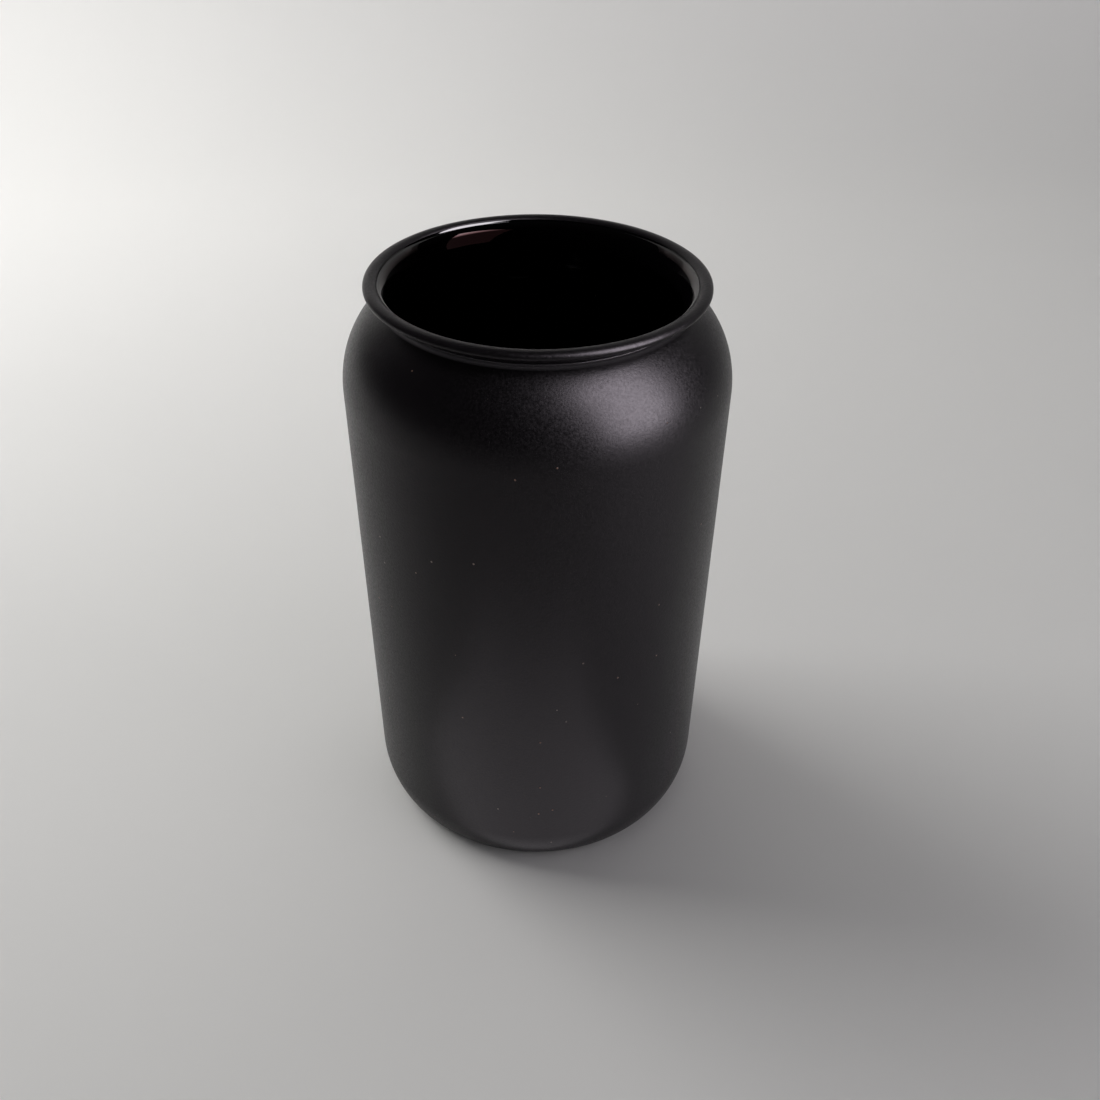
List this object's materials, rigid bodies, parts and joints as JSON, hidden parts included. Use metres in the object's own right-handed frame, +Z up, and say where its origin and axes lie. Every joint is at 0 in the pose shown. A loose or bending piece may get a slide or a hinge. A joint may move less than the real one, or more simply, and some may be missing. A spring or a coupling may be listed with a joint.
{
  "type": "candle jar",
  "caption": "Empty can-shaped glass candle jar, matte black outside and glossy black inside, with a rounded shoulder and a flared, beaded lip; it stands on a flat ring.",
  "frame": {"origin": "centre of the base, on the surface the jar stands on", "axes": "+Z up along the jar's axis, out of its mouth; the jar is the same all round, so +X and +Y are free"},
  "size_m": [0.0806, 0.0806, 0.1332],
  "materials": {
    "glass": "clear glass backed by black lacquer, so it reads as opaque gloss black",
    "lacquer": "sprayed matte black lacquer with a fine orange-peel grain"
  },
  "bodies": {
    "root": {"glass_jar": "glass", "lacquer_coat": "lacquer"}
  },
  "joints": []
}
